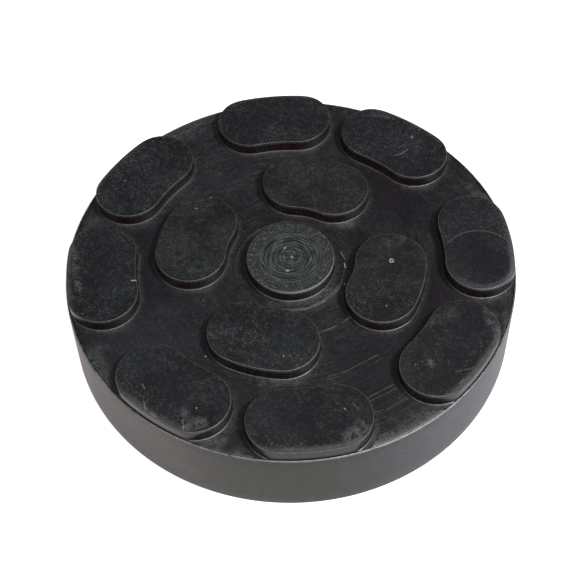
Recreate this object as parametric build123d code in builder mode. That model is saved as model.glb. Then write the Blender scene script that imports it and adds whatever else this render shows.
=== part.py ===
"""Rubber pad of a vehicle lift arm, moulded in one piece.

Millimetres. The pad stands on its flat underside, the origin is in the middle of
that face, and +Z points up through the round boss in the centre. The two rows of
kidney bosses are symmetric about the X and Y axes.
"""

import os
from math import asin, degrees, sqrt

from build123d import *

# Overall sizes
pad_diameter = 120.0
pad_height = 25.0
boss_height = 3.6
rim_edge_radius = 0.45
bottom_edge_radius = 0.5

# Bosses, and the channels that part them
boss_sectors = 4
centre_boss_diameter = 23.4
outer_boss_width = 18.6
outer_row_setback = 0.35
centre_channel = 5.5
row_channel = 4.9
narrow_channel = 4.0
wide_channel = 10.5

# Edges of the bosses, and the crown that slopes down to the rim
boss_edge_bevel = 0.25
boss_foot_bevel = 0.3
crown_width = 2.4
crown_radius = 6.0

# Rings left by the turning of the mould: grooves on the centre boss, and a fine
# raised ring on the floor round its foot
groove_pitch = 0.9
groove_depth = 0.06
groove_width = 0.5
groove_free_border = 4.0
floor_ring_gap = 3.2
floor_ring_height = 0.08
floor_ring_width = 0.4

# Heights and radii that follow
pad_radius = pad_diameter / 2
floor_height = pad_height - boss_height
boss_root = floor_height - rim_edge_radius
centre_boss_radius = centre_boss_diameter / 2
outer_end_radius = outer_boss_width / 2
outer_row_edge = pad_radius - outer_row_setback
outer_path_radius = outer_row_edge - outer_end_radius
inner_row_inside = centre_boss_radius + centre_channel
inner_row_outside = outer_path_radius - outer_end_radius - row_channel
inner_boss_width = inner_row_outside - inner_row_inside
inner_end_radius = inner_boss_width / 2
inner_path_radius = inner_row_inside + inner_end_radius
crown_start = outer_row_edge - crown_width
crown_drop = crown_radius - sqrt(crown_radius**2 - crown_width**2)
groove_field = centre_boss_radius - groove_free_border
groove_count = int(groove_field / groove_pitch)
floor_ring_radius = centre_boss_radius + floor_ring_gap


def half_gap_angle(channel, end_radius, path_radius):
    """Angle from the middle of a channel to the centre of the boss end beside it."""
    return degrees(asin((end_radius + channel / 2) / path_radius))


# The inner row has a wide channel on each diagonal. The outer row has twice as many
# bosses, with narrow channels on the axes and wide ones on the diagonals.
half_sector = 180 / boss_sectors
inner_half_angle = half_sector - half_gap_angle(wide_channel, inner_end_radius, inner_path_radius)
narrow_half_angle = half_gap_angle(narrow_channel, outer_end_radius, outer_path_radius)
wide_half_angle = half_gap_angle(wide_channel, outer_end_radius, outer_path_radius)
outer_half_angle = (half_sector - narrow_half_angle - wide_half_angle) / 2
outer_boss_angle = narrow_half_angle + outer_half_angle


with BuildPart() as rubber_pad:
    # The disc, turned about the vertical axis
    with BuildSketch(Plane.XZ) as disc_section:
        Rectangle(pad_radius, floor_height, align=(Align.MIN, Align.MIN))
        outer_corners = disc_section.vertices().group_by(Axis.X)[-1].sort_by(Axis.Y)
        fillet(outer_corners[-1], rim_edge_radius)
        fillet(outer_corners[0], bottom_edge_radius)
    revolve(axis=Axis.Z)

    # The raised ring on the floor
    with BuildSketch(Plane.XZ):
        with Locations((floor_ring_radius, floor_height)):
            Polygon(
                (-floor_ring_width / 2, 0),
                (floor_ring_width / 2, 0),
                (0, floor_ring_height),
                align=None,
            )
    revolve(axis=Axis.Z)

    # The bosses, rooted below the floor so that the outer row grows out of the
    # rounded rim: a round one, and arc-shaped slots with round ends
    with BuildSketch(Plane.XY.offset(boss_root)):
        Circle(centre_boss_radius)
        with PolarLocations(0, boss_sectors):
            SlotArc(
                CenterArc((0, 0), inner_path_radius, -inner_half_angle, 2 * inner_half_angle),
                inner_boss_width,
            )
        for side in (-1, 1):
            with PolarLocations(0, boss_sectors, start_angle=side * outer_boss_angle):
                SlotArc(
                    CenterArc((0, 0), outer_path_radius, -outer_half_angle, 2 * outer_half_angle),
                    outer_boss_width,
                )
    extrude(amount=pad_height - boss_root)

    # The crown takes the outer edge of the outer row down in an arc
    with BuildSketch(Plane.XZ):
        with BuildLine():
            RadiusArc(
                (crown_start, pad_height),
                (outer_row_edge, pad_height - crown_drop),
                crown_radius,
            )
            Polyline(
                (outer_row_edge, pad_height - crown_drop),
                (pad_radius, pad_height - crown_drop),
                (pad_radius, pad_height),
                (crown_start, pad_height),
            )
        make_face()
    revolve(axis=Axis.Z, mode=Mode.SUBTRACT)

    # Small bevels along the top edges, then along the feet where the walls meet the floor
    for lowest, highest, bevel in (
        (pad_height - boss_height / 2, pad_height, boss_edge_bevel),
        (boss_root, floor_height + boss_height / 2, boss_foot_bevel),
    ):
        boss_walls = rubber_pad.faces().filter_by(GeomType.CYLINDER)
        boss_walls = boss_walls.filter_by_position(Axis.Z, floor_height, pad_height)
        wall_ends = boss_walls.edges().filter_by(GeomType.LINE, reverse=True)
        chamfer(wall_ends.filter_by_position(Axis.Z, lowest, highest), bevel)

    # The turned grooves on the centre boss
    with BuildSketch(Plane.XZ):
        with Locations([(n * groove_pitch, pad_height) for n in range(1, groove_count + 1)]):
            Polygon(
                (-groove_width / 2, 0),
                (0, -groove_depth),
                (groove_width / 2, 0),
                align=None,
            )
    revolve(axis=Axis.Z, mode=Mode.SUBTRACT)

rubber_pad.part.label = "rubber_pad"

os.makedirs("parts", exist_ok=True)
export_step(rubber_pad.part, "parts/rubber_pad.step")
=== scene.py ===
# %% [markdown]
# # A rubber pad for a lift arm
#
# The object is one block of black rubber: a thick disc with a round boss in the middle, a row of
# four kidney-shaped bosses round it and a row of eight more at the rim. The imported solid
# already has the right size. This script gives it the surface of the real one: rounded edges,
# fine turning marks, the pale bloom that black rubber grows, dust and small scratches. Into its
# colour it also paints highlights, reflections and shade where the light falls.
#
# The first cell loads the imported model. Everything after it is in metres, and the
# pad stands on the table with its axis on the Z axis.

# %% The imported model
from math import asin, cos, degrees, exp, log, pi, radians, sin, sqrt

import bmesh
import bpy
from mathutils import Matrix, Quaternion, Vector


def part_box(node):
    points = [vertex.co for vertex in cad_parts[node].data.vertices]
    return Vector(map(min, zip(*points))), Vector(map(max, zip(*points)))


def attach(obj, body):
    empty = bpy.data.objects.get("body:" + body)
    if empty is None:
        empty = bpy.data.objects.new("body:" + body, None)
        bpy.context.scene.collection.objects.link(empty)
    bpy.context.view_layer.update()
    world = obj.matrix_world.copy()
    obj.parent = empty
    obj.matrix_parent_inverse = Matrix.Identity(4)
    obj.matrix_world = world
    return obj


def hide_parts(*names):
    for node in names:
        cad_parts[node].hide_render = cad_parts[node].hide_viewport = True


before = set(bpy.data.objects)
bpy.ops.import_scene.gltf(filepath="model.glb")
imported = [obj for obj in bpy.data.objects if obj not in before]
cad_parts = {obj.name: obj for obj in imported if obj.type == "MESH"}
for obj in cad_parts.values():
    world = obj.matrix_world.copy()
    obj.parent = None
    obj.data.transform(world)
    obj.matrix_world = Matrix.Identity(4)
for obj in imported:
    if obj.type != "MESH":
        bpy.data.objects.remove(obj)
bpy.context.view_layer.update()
mm = 0.001
pad_low, pad_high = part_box("rubber_pad")
pad_radius = (pad_high.x - pad_low.x) / 2
pad_height = pad_high.z
print(f"pad: {2 * pad_radius / mm:.1f} mm across, {pad_height / mm:.1f} mm high")

# %% [markdown]
# ## The camera
#
# The picture was taken from above at about 53 degrees, from close by, with a short
# telephoto lens. A camera can be placed by trial, or worked out from the ellipses
# that the round rim and floor make in the picture. The second way was used, and it
# also gives the small lean of the horizon. The camera comes first, so that every
# mark made later can be compared with the picture at once.

# %% Camera
camera_azimuth = radians(16.44)
camera_elevation = radians(52.78)
camera_distance = 380.8 * mm
camera_lean = radians(-1.658)
camera_lens = 88.96
boss_height = 3.6 * mm
floor_height = pad_height - boss_height
aim_beyond_axis = 8.18 * mm
aim_right_of_axis = -0.88 * mm

facing = Quaternion((0, 0, 1), camera_azimuth)
camera_place = facing @ Vector(
    (0, -camera_distance * cos(camera_elevation), camera_distance * sin(camera_elevation))
)
camera_place.z += floor_height
camera_aim = facing @ Vector((aim_right_of_axis, aim_beyond_axis, 0))

camera_data = bpy.data.cameras.new("camera")
camera_data.lens = camera_lens
camera_data.sensor_width = 36.0
camera_data.clip_start = 0.01
camera_data.clip_end = 20.0
camera = bpy.data.objects.new("camera", camera_data)
bpy.context.scene.collection.objects.link(camera)
camera.rotation_mode = "QUATERNION"
camera.location = camera_place
look = (camera_aim - camera_place).to_track_quat("-Z", "Y")
camera.rotation_quaternion = look @ Quaternion((0, 0, 1), camera_lean)
bpy.context.scene.camera = camera
print("camera at", [round(v / mm) for v in camera_place], "mm")

# %% [markdown]
# ## Where the bosses lie
#
# The bosses could be placed one by one, but all twelve kidneys follow from a few
# sizes: the width of the bosses and of the channels between them. A kidney is an
# arc-shaped slot: a path of constant radius, with a half circle at each end. The
# same few values place the meshes here and the patterns of the rubber later on.

# %% Layout of the bosses
centre_boss_radius = 11.7 * mm
centre_channel = 5.5 * mm
row_channel = 4.9 * mm
narrow_channel = 4.0 * mm
wide_channel = 10.5 * mm
outer_row_edge = pad_radius - 0.35 * mm
outer_end_radius = 9.3 * mm
outer_path_radius = outer_row_edge - outer_end_radius
inner_row_inside = centre_boss_radius + centre_channel
inner_row_outside = outer_path_radius - outer_end_radius - row_channel
inner_end_radius = (inner_row_outside - inner_row_inside) / 2
inner_path_radius = inner_row_inside + inner_end_radius
half_sector = radians(45)


def half_gap_angle(channel, end_radius, path_radius):
    """Angle from the middle of a channel to the centre of the boss end beside it."""
    return asin((end_radius + channel / 2) / path_radius)


inner_half_angle = half_sector - half_gap_angle(wide_channel, inner_end_radius, inner_path_radius)
narrow_half_angle = half_gap_angle(narrow_channel, outer_end_radius, outer_path_radius)
wide_half_angle = half_gap_angle(wide_channel, outer_end_radius, outer_path_radius)
outer_half_angle = (half_sector - narrow_half_angle - wide_half_angle) / 2
outer_boss_angle = narrow_half_angle + outer_half_angle
print(f"inner bosses span +-{degrees(inner_half_angle):.1f} degrees about the axes")
outer_span = f"+-{degrees(outer_half_angle):.1f} about +-{degrees(outer_boss_angle):.1f}"
print("outer bosses span", outer_span)

# %% [markdown]
# ## The disc
#
# The disc is round and carries marks that run round its axis, so a spun section is
# its natural form. The section goes from the middle of the underside, up the side
# and back to the axis along the floor between the bosses. Two fine raised rings run
# round the foot of the centre boss, like the marks of a turning tool, and a fainter
# one further out. Along the rim runs a fine bead, as where a mould parts, with a
# groove inside it. The rim and the lower edge are left square here and rounded by a
# bevel once the section is spun. The underside and the floor are flat, but they get
# loops too, so that the smooth shading of the edge doesn't reach across them.

# %% Disc
disc_steps = 240
weld_distance = 0.001 * mm
rim_edge_radius = 0.30 * mm
rim_bevel_steps = 7
rim_bead_height = 0.03 * mm
rim_bead_width = 0.36 * mm
rim_groove_radius = pad_radius - 0.55 * mm
rim_groove_depth = 0.22 * mm
rim_groove_end = pad_radius - 1.05 * mm
rim_height = floor_height + rim_bead_height
bottom_edge_radius = 0.5 * mm
bottom_bevel_steps = 5
side_rows = 6
underside_insets = (40 * mm, 20 * mm, 8 * mm, 2 * mm)
floor_pitch = 2.5 * mm
tool_rings = (
    (14.45 * mm, 0.05 * mm),
    (14.95 * mm, 0.07 * mm),
    (23.1 * mm, 0.03 * mm),
)
tool_ring_width = 0.34 * mm


def chain(bm, points):
    """Vertices at (radius, height) points in the XZ plane, joined in a row by edges."""
    verts = [bm.verts.new((r, 0, z)) for r, z in points]
    edges = [bm.edges.new(pair) for pair in zip(verts, verts[1:])]
    return verts + edges


def floor_section():
    """The section of the floor from the rim to the axis, with its raised rings."""
    points = []
    radius = pad_radius
    while radius > floor_pitch / 2:
        radius -= floor_pitch
        if all(abs(radius - ring) > tool_ring_width for ring, _ in tool_rings):
            points.append((max(radius, 0), floor_height))
    for ring, height in tool_rings:
        points.append((ring + tool_ring_width / 2, floor_height))
        points.append((ring, floor_height + height))
        points.append((ring - tool_ring_width / 2, floor_height))
    return sorted(points, reverse=True)


def edges_on_circle(bm, radius, height):
    """The edges whose two ends lie on one circle about the pad's axis."""
    near = 0.01 * mm
    return [
        edge
        for edge in bm.edges
        if all(
            abs(vert.co.xy.length - radius) < near and abs(vert.co.z - height) < near
            for vert in edge.verts
        )
    ]


disc_bm = bmesh.new()
section = [(0, 0)]
section += [(pad_radius - inset, 0) for inset in underside_insets] + [(pad_radius, 0)]
section += [(pad_radius, rim_height * row / side_rows) for row in range(1, side_rows + 1)]
section += [
    (pad_radius - rim_bead_width, rim_height),
    (rim_groove_radius, floor_height - rim_groove_depth),
    (rim_groove_end, floor_height),
]
section += floor_section()
profile = chain(disc_bm, section)
bmesh.ops.spin(
    disc_bm,
    geom=profile,
    cent=(0, 0, 0),
    axis=(0, 0, 1),
    angle=2 * pi,
    steps=disc_steps,
    use_merge=True,
)
bmesh.ops.remove_doubles(disc_bm, verts=disc_bm.verts, dist=weld_distance)
for height, rounding, steps in (
    (rim_height, rim_edge_radius, rim_bevel_steps),
    (0, bottom_edge_radius, bottom_bevel_steps),
):
    bmesh.ops.bevel(
        disc_bm,
        geom=edges_on_circle(disc_bm, pad_radius, height),
        offset=rounding,
        offset_type="OFFSET",
        segments=steps,
        profile=0.5,
        affect="EDGES",
        material=-1,
    )
bmesh.ops.recalc_face_normals(disc_bm, faces=disc_bm.faces)
print("disc:", len(disc_bm.faces), "faces")

# %% [markdown]
# ## A boss
#
# Every boss has the same section from floor to top: a soft flare where it leaves
# the floor, a steep wall, a small rounding and then the flat. Bridging loops would
# do, but there is a shorter way. One flat face in the outline of the foot is inset
# again and again, and each inset also rises a little. The steps of the section are
# pairs of inset and rise, so a curve in the section is a run of small steps.

# %% Section of a boss
flare_reach = 1.7 * mm
flare_height = 0.09 * mm
flare_power = 2.4
flare_steps = 6
foot_radius = 0.42 * mm
foot_slope = radians(5)
foot_steps = 5
wall_draft = 0.10 * mm
lip_radius = 0.22 * mm
lip_steps = 5
skirt_depth = 1.2 * mm
skirt_lift = 0.006 * mm


def boss_section():
    """Steps of (inset, rise) from the skirt under the floor to the edge of the flat top."""
    points = [(0, -skirt_depth), (0, skirt_lift)]
    for n in range(1, flare_steps + 1):
        share = n / flare_steps
        rise = skirt_lift + flare_height * share**flare_power
        points.append(((flare_reach - foot_radius) * share, rise))
    foot_start = points[-1]
    for n in range(1, foot_steps + 1):
        turn = foot_slope + (pi / 2 - foot_slope) * n / foot_steps
        points.append((
            foot_start[0] + foot_radius * (sin(turn) - sin(foot_slope)),
            foot_start[1] + foot_radius * (cos(foot_slope) - cos(turn)),
        ))
    wall_foot = points[-1]
    wall_top = (wall_foot[0] + wall_draft, boss_height - lip_radius)
    for n in (1, 2):
        points.append(tuple(a + (b - a) * n / 2 for a, b in zip(wall_foot, wall_top)))
    for n in range(1, lip_steps + 1):
        turn = pi / 2 * n / lip_steps
        points.append((
            wall_top[0] + lip_radius * (1 - cos(turn)),
            wall_top[1] + lip_radius * sin(turn),
        ))
    return points


section_points = boss_section()
section_steps = [(b[0] - a[0], b[1] - a[1]) for a, b in zip(section_points, section_points[1:])]
foot_growth = next(inset for inset, rise in section_points if rise > boss_height / 2)
flat_start = section_points[-1][0] / mm
print(f"boss section: {len(section_steps)} steps, the flat starts {flat_start:.2f} mm in")

# %% [markdown]
# The outline of a kidney is drawn by spinning a single vertex through four arcs:
# along the outside, round one end, back along the hollow side and round the other
# end. The outline of the foot is the outline of the boss grown by the reach of the
# flare, and growing such a slot only makes its end radius larger.

# %% Kidney outline
outline_pitch = 0.62 * mm


def spin_on(bm, vert, centre, angle, radius):
    """Spins a vertex about an upright axis, and gives the last vertex of the arc."""
    steps = max(2, round(abs(angle) * radius / outline_pitch))
    made = bmesh.ops.spin(
        bm,
        geom=[vert],
        cent=centre,
        axis=(0, 0, 1),
        angle=angle,
        steps=steps,
    )
    return next(item for item in made["geom_last"] if isinstance(item, bmesh.types.BMVert))


def kidney_face(bm, path_radius, half_angle, end_radius, height):
    """A flat face in the outline of an arc-shaped slot about the X axis."""
    first = bm.verts.new((path_radius + end_radius, 0, height))
    bmesh.ops.rotate(
        bm, verts=[first], cent=(0, 0, 0), matrix=Quaternion((0, 0, 1), -half_angle).to_matrix()
    )
    axis_point = Vector((0, 0, 0))
    ends = [
        Vector((path_radius * cos(side * half_angle), path_radius * sin(side * half_angle), 0))
        for side in (1, -1)
    ]
    before = set(bm.verts)
    last = spin_on(bm, first, axis_point, 2 * half_angle, path_radius + end_radius)
    last = spin_on(bm, last, ends[0], pi, end_radius)
    last = spin_on(bm, last, axis_point, -2 * half_angle, path_radius - end_radius)
    last = spin_on(bm, last, ends[1], pi, end_radius)
    ring = [first] + [vert for vert in bm.verts if vert not in before]
    bmesh.ops.weld_verts(bm, targetmap={last: first})
    ring = [vert for vert in ring if vert.is_valid]
    return bm.faces.new(ring)


def circle_face(bm, radius, height):
    """A flat round face about the pad's axis."""
    steps = round(2 * pi * radius / outline_pitch)
    made = bmesh.ops.create_circle(bm, cap_ends=True, segments=steps, radius=radius)
    for vert in made["verts"]:
        vert.co.z = height
    return made["verts"][0].link_faces[0]


# %% [markdown]
# Raising the face is the same for all three kinds of boss: a skirt is extruded
# through the floor, so that the later union has something to cut, and the insets
# follow the section. More insets go across the top, close together near the edge
# where the crown will bend it, and wider further in.

# %% Raising a boss
kidney_top_insets = [0.12, 0.2, 0.3, 0.3, 0.35, 0.35, 0.4, 0.5, 0.8, 1.2, 1.6]


def raise_boss(bm, face, top_insets):
    """Extrudes a skirt from a face, then insets and lifts the face through the section."""
    made = bmesh.ops.extrude_face_region(bm, geom=[face], use_keep_orig=True)
    lifted = [item for item in made["geom"] if isinstance(item, bmesh.types.BMVert)]
    bmesh.ops.translate(bm, verts=lifted, vec=(0, 0, skirt_depth + skirt_lift))
    top = next(item for item in made["geom"] if isinstance(item, bmesh.types.BMFace))
    top.normal_update()
    if top.normal.z < 0:
        top.normal_flip()
    steps = section_steps[1:] + [(inset * mm, 0) for inset in top_insets]
    for inset, rise in steps:
        bmesh.ops.inset_region(bm, faces=[top], thickness=inset, depth=rise, use_even_offset=True)
    return top


def copies_round(bm, angles):
    """Turns what the bmesh holds about the pad's axis, once for each angle."""
    master = bm.verts[:] + bm.edges[:] + bm.faces[:]
    for angle in angles:
        made = bmesh.ops.duplicate(bm, geom=master)
        verts = [item for item in made["geom"] if isinstance(item, bmesh.types.BMVert)]
        turn = Quaternion((0, 0, 1), angle).to_matrix()
        bmesh.ops.rotate(bm, verts=verts, cent=(0, 0, 0), matrix=turn)
    bmesh.ops.delete(bm, geom=[item for item in master if isinstance(item, bmesh.types.BMVert)])


def as_piece(bm, name):
    """Writes a bmesh to a new object, with its faces pointing outwards."""
    bmesh.ops.recalc_face_normals(bm, faces=bm.faces)
    mesh = bpy.data.meshes.new(name)
    bm.to_mesh(mesh)
    bm.free()
    piece = bpy.data.objects.new(name, mesh)
    bpy.context.scene.collection.objects.link(piece)
    print(name, "faces:", len(mesh.polygons))
    return piece


quarter = pi / 2
foot_depth = floor_height - skirt_depth
inner_bm = bmesh.new()
foot = kidney_face(
    inner_bm, inner_path_radius, inner_half_angle, inner_end_radius + foot_growth, foot_depth
)
raise_boss(inner_bm, foot, kidney_top_insets)
copies_round(inner_bm, [quarter * n for n in range(4)])
inner_bosses = as_piece(inner_bm, "inner_bosses")

# %% [markdown]
# The bosses at the rim differ in two ways. Their outer wall rises straight out of
# the rounded rim, so nothing of the flare may stand out there: what would is
# drawn back to the wall. A hard limit would leave a corner in the outline where
# the boss meets it, so the limit is soft. And their tops are crowned, dropping in
# an arc towards the rim. Both are moves of the finished mesh, because the insets
# left enough loops where it bends.

# %% Bosses at the rim
outer_wall_setback = 0.16 * mm
outer_wall_radius = outer_row_edge - outer_wall_setback
wall_softness = 0.08 * mm
well_inside = 10
crown_width = 2.1 * mm
crown_radius = 4.6 * mm
crown_start = outer_row_edge - crown_width


def drawn_back(radius):
    """A distance from the axis, drawn back softly so that it stays within the outer wall."""
    inside = (outer_wall_radius - radius) / wall_softness
    if inside > well_inside:
        return radius
    return outer_wall_radius - wall_softness * log(1 + exp(inside))


def crown_drop(radius):
    """How far the crown lies under the flat top at a distance from the pad's axis."""
    past = min(max(radius - crown_start, 0), crown_radius)
    return crown_radius - sqrt(crown_radius**2 - past**2)


outer_bm = bmesh.new()
foot = kidney_face(
    outer_bm, outer_path_radius, outer_half_angle, outer_end_radius + foot_growth, foot_depth
)
raise_boss(outer_bm, foot, kidney_top_insets)
for vert in outer_bm.verts:
    radius = vert.co.xy.length
    vert.co.xy *= drawn_back(radius) / radius
    if vert.co.z > floor_height:
        share = (vert.co.z - floor_height) / boss_height
        vert.co.z -= share * crown_drop(drawn_back(radius))
copies_round(
    outer_bm, [quarter * n + side * outer_boss_angle for n in range(4) for side in (-1, 1)]
)
outer_bosses = as_piece(outer_bm, "outer_bosses")

# %% [markdown]
# The top of the centre boss is covered with fine rings, as if turned. They could be
# a bump pattern, but real rings catch the light better, so the flat is inset in
# narrow rings right to the middle, and each ring is set to the height of a ripple.
# One ring stands out, and the ripple fades towards the edge, where a plain band is
# left.

# %% Centre boss
ring_pitch = 0.16 * mm
ripple_long = 0.74 * mm
ripple_short = 0.43 * mm
ripple_short_share = 0.6
ripple_depth = 0.030 * mm
ripple_fade = 0.8 * mm
ripple_least = 0.12
proud_ring = 7.3 * mm
proud_ring_height = 0.035 * mm
proud_ring_reach = 0.25 * mm
plain_band = 8.3 * mm
flat_border = 0.35 * mm
ring_free_border = 1.2 * mm
ring_count = int((centre_boss_radius - ring_free_border) / ring_pitch)


def ripple(radius):
    """Height of the turned top of the centre boss, against its flat edge."""
    fade = min(max((plain_band - radius) / ripple_fade, ripple_least), 1)
    wave = sin(2 * pi * radius / ripple_long)
    wave += ripple_short_share * sin(2 * pi * radius / ripple_short)
    proud = proud_ring_height * max(0, 1 - abs(radius - proud_ring) / proud_ring_reach)
    return ripple_depth * fade * (wave - 1) / 2 + proud


centre_bm = bmesh.new()
foot = circle_face(centre_bm, centre_boss_radius + foot_growth, foot_depth)
raise_boss(centre_bm, foot, [ring_pitch / mm] * ring_count)
flat_edge = centre_boss_radius - flat_border
for vert in centre_bm.verts:
    radius = vert.co.xy.length
    if vert.co.z > pad_height - weld_distance and radius < flat_edge:
        vert.co.z += ripple(radius)
centre_boss = as_piece(centre_bm, "centre_boss")

# %% [markdown]
# ## One piece of rubber
#
# The photo shows no joint between disc and bosses, so the meshes become one. They
# could simply be joined and left to overlap, but then walls would run on inside the
# rubber. An exact Boolean union gives one closed skin. Its result is written to a
# mesh of its own, and edges sharper than an angle are marked, so that the flat floor
# isn't shaded as if it bent up into the walls.

# %% Union
sharp_angle = radians(32)
skin_weld = 0.0005 * mm
skin_sliver = 0.0003 * mm
disc = as_piece(disc_bm, "disc")
for bosses in (inner_bosses, outer_bosses, centre_boss):
    union = disc.modifiers.new("union " + bosses.name, "BOOLEAN")
    union.operation = "UNION"
    union.solver = "EXACT"
    union.object = bosses
bpy.context.view_layer.update()
depsgraph = bpy.context.evaluated_depsgraph_get()
skin = bpy.data.meshes.new_from_object(disc.evaluated_get(depsgraph))
skin.name = "rubber_skin"

skin_bm = bmesh.new()
skin_bm.from_mesh(skin)
bmesh.ops.remove_doubles(skin_bm, verts=skin_bm.verts, dist=skin_weld)
bmesh.ops.dissolve_degenerate(skin_bm, edges=skin_bm.edges, dist=skin_sliver)
open_edges = [edge for edge in skin_bm.edges if len(edge.link_faces) != 2]
bmesh.ops.recalc_face_normals(skin_bm, faces=skin_bm.faces)
skin_bm.to_mesh(skin)
skin_bm.free()
skin.shade_smooth()
skin.set_sharp_from_angle(angle=sharp_angle)
for helper in (disc, inner_bosses, outer_bosses, centre_boss):
    bpy.data.objects.remove(helper)

pad = bpy.data.objects.new("pad", skin)
bpy.context.scene.collection.objects.link(pad)
skin.calc_loop_triangles()
print("pad:", len(skin.loop_triangles), "triangles,", len(open_edges), "open edges")
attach(pad, "root")
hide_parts("rubber_pad")

# %% [markdown]
# ## Writing shaders as sums
#
# A pattern that depends on the distance to a kidney outline takes dozens of Math
# nodes. Placing them by hand is slow to write and slower to read. Wrapping a socket
# in a small class lets Python's own operators add the nodes, so a shader reads like
# the sum it works out.

# %% Wires and nodes


class Wire:
    """An output socket. Arithmetic on it adds Math nodes to the shader it is in."""

    def __init__(self, shader, socket):
        self.shader = shader
        self.socket = socket

    def __add__(self, other):
        return self.shader.sum("ADD", self, other)

    def __radd__(self, other):
        return self.shader.sum("ADD", other, self)

    def __sub__(self, other):
        return self.shader.sum("SUBTRACT", self, other)

    def __rsub__(self, other):
        return self.shader.sum("SUBTRACT", other, self)

    def __mul__(self, other):
        return self.shader.sum("MULTIPLY", self, other)

    def __rmul__(self, other):
        return self.shader.sum("MULTIPLY", other, self)

    def __truediv__(self, other):
        return self.shader.sum("DIVIDE", self, other)

    def __rtruediv__(self, other):
        return self.shader.sum("DIVIDE", other, self)

    def __abs__(self):
        return self.shader.sum("ABSOLUTE", self)


class Shader:
    """Adds nodes to the tree of one material or world."""

    def __init__(self, owner):
        owner.use_nodes = True
        self.tree = owner.node_tree
        self.tree.nodes.clear()

    def plug(self, socket, value):
        """Sets an input to a number or colour, or links a wire to it."""
        if isinstance(value, Wire):
            self.tree.links.new(value.socket, socket)
        elif socket.type == "RGBA":
            socket.default_value = (*value, 1)
        else:
            socket.default_value = value

    def node(self, kind, settings=None, inputs=None, output=0):
        """Adds a node: its settings first, then its sockets, by name or number."""
        node = self.tree.nodes.new(kind)
        for name, value in (settings or {}).items():
            setattr(node, name, value)
        for name, value in (inputs or {}).items():
            self.plug(node.inputs[name], value)
        return Wire(self, node.outputs[output]) if node.outputs else None

    def sum(self, operation, *values):
        """Adds one Math node."""
        return self.node("ShaderNodeMath", {"operation": operation}, dict(enumerate(values)))

    def vector(self, operation, *values, output=0):
        """Adds one Vector Math node."""
        settings = {"operation": operation}
        return self.node("ShaderNodeVectorMath", settings, dict(enumerate(values)), output)

    def scaled(self, vector, scale):
        """A vector times a number."""
        inputs = {0: vector, "Scale": scale}
        return self.node("ShaderNodeVectorMath", {"operation": "SCALE"}, inputs)

    def step(self, value, start, end, rise=1.0):
        """0 at start, the rise at end, and a smooth change between them."""
        settings = {"interpolation_type": "SMOOTHSTEP"}
        inputs = {"Value": value, "From Min": start, "From Max": end, "To Max": rise}
        return self.node("ShaderNodeMapRange", settings, inputs)

    def least(self, *values):
        """The smallest of several values."""
        least = values[0]
        for value in values[1:]:
            least = self.sum("MINIMUM", least, value)
        return least

    def most(self, *values):
        """The largest of several values."""
        most = values[0]
        for value in values[1:]:
            most = self.sum("MAXIMUM", most, value)
        return most

    def point(self, x, y, z):
        """A vector from three values."""
        return self.node("ShaderNodeCombineXYZ", None, {0: x, 1: y, 2: z})

    def noise(self, place, scale, detail=2.0, rough=0.5):
        """Noise from 0 to 1 at a place. Scale is cells per unit of the place."""
        inputs = {"Vector": place, "Scale": scale, "Detail": detail, "Roughness": rough}
        return self.node("ShaderNodeTexNoise", None, inputs, "Fac")

    def mix(self, share, first, second):
        """A colour between two colours."""
        settings = {"data_type": "RGBA"}
        return self.node("ShaderNodeMix", settings, {0: share, 6: first, 7: second}, 2)


# %% [markdown]
# ## Black rubber
#
# A single black would be wrong: on the real pad the floor is a warm black, the tops a cooler one,
# the centre boss is grey with fine turning marks, and a pale bloom with a painted sheen over it
# lies on the crowned edges. One material holds all this, because it is one piece of rubber. The
# patterns need to know where they are: the distance from the axis, the angle round it and the
# distance to the nearest boss outline. The last is the same slot formula that shaped the bosses.

# %% Places on the rubber
rubber = bpy.data.materials.new("black_rubber")
shader = Shader(rubber)
place = shader.node("ShaderNodeTexCoord", None, None, "Object")
place_mm = shader.scaled(place, 1 / mm)
x, y, z = (shader.node("ShaderNodeSeparateXYZ", None, {0: place_mm}, axis) for axis in range(3))
flat_place = shader.point(x, y, 0)
axis_distance = shader.sum("SQRT", x * x + y * y)
axis_angle = shader.sum("ARCTAN2", y, x)
sector_angle = shader.sum("WRAP", axis_angle, half_sector, -half_sector)


def squared_from_path(path, turn):
    """Squared distance in mm to a point on a path round the axis, at an angle from here."""
    squared = axis_distance * axis_distance + path**2
    squared = squared - axis_distance * (2 * path) * shader.sum("COSINE", turn)
    return shader.most(squared, 0)


def slot_distance(path_radius, half_angle, end_radius, from_middle):
    """Distance to the outline of a row of slots, in mm, negative inside a slot."""
    past_end = shader.most(from_middle - half_angle, 0)
    squared = squared_from_path(path_radius / mm, past_end)
    return shader.sum("SQRT", squared) - end_radius / mm


inner_from_middle = abs(sector_angle)
outer_from_middle = abs(inner_from_middle - outer_boss_angle)
boss_distance = shader.least(
    axis_distance - centre_boss_radius / mm,
    slot_distance(inner_path_radius, inner_half_angle, inner_end_radius, inner_from_middle),
    slot_distance(outer_path_radius, outer_half_angle, outer_end_radius, outer_from_middle),
)
edge_distance = shader.most(boss_distance, axis_distance - outer_wall_radius / mm)
print("nodes for the places:", len(shader.tree.nodes))

# %% [markdown]
# Masks tell the parts of the surface apart: each is 1 on its part and 0 elsewhere,
# with a short soft change between. They could be painted as vertex colours, but a
# mask worked out from height and distance is as sharp as it needs to be anywhere.

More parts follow.
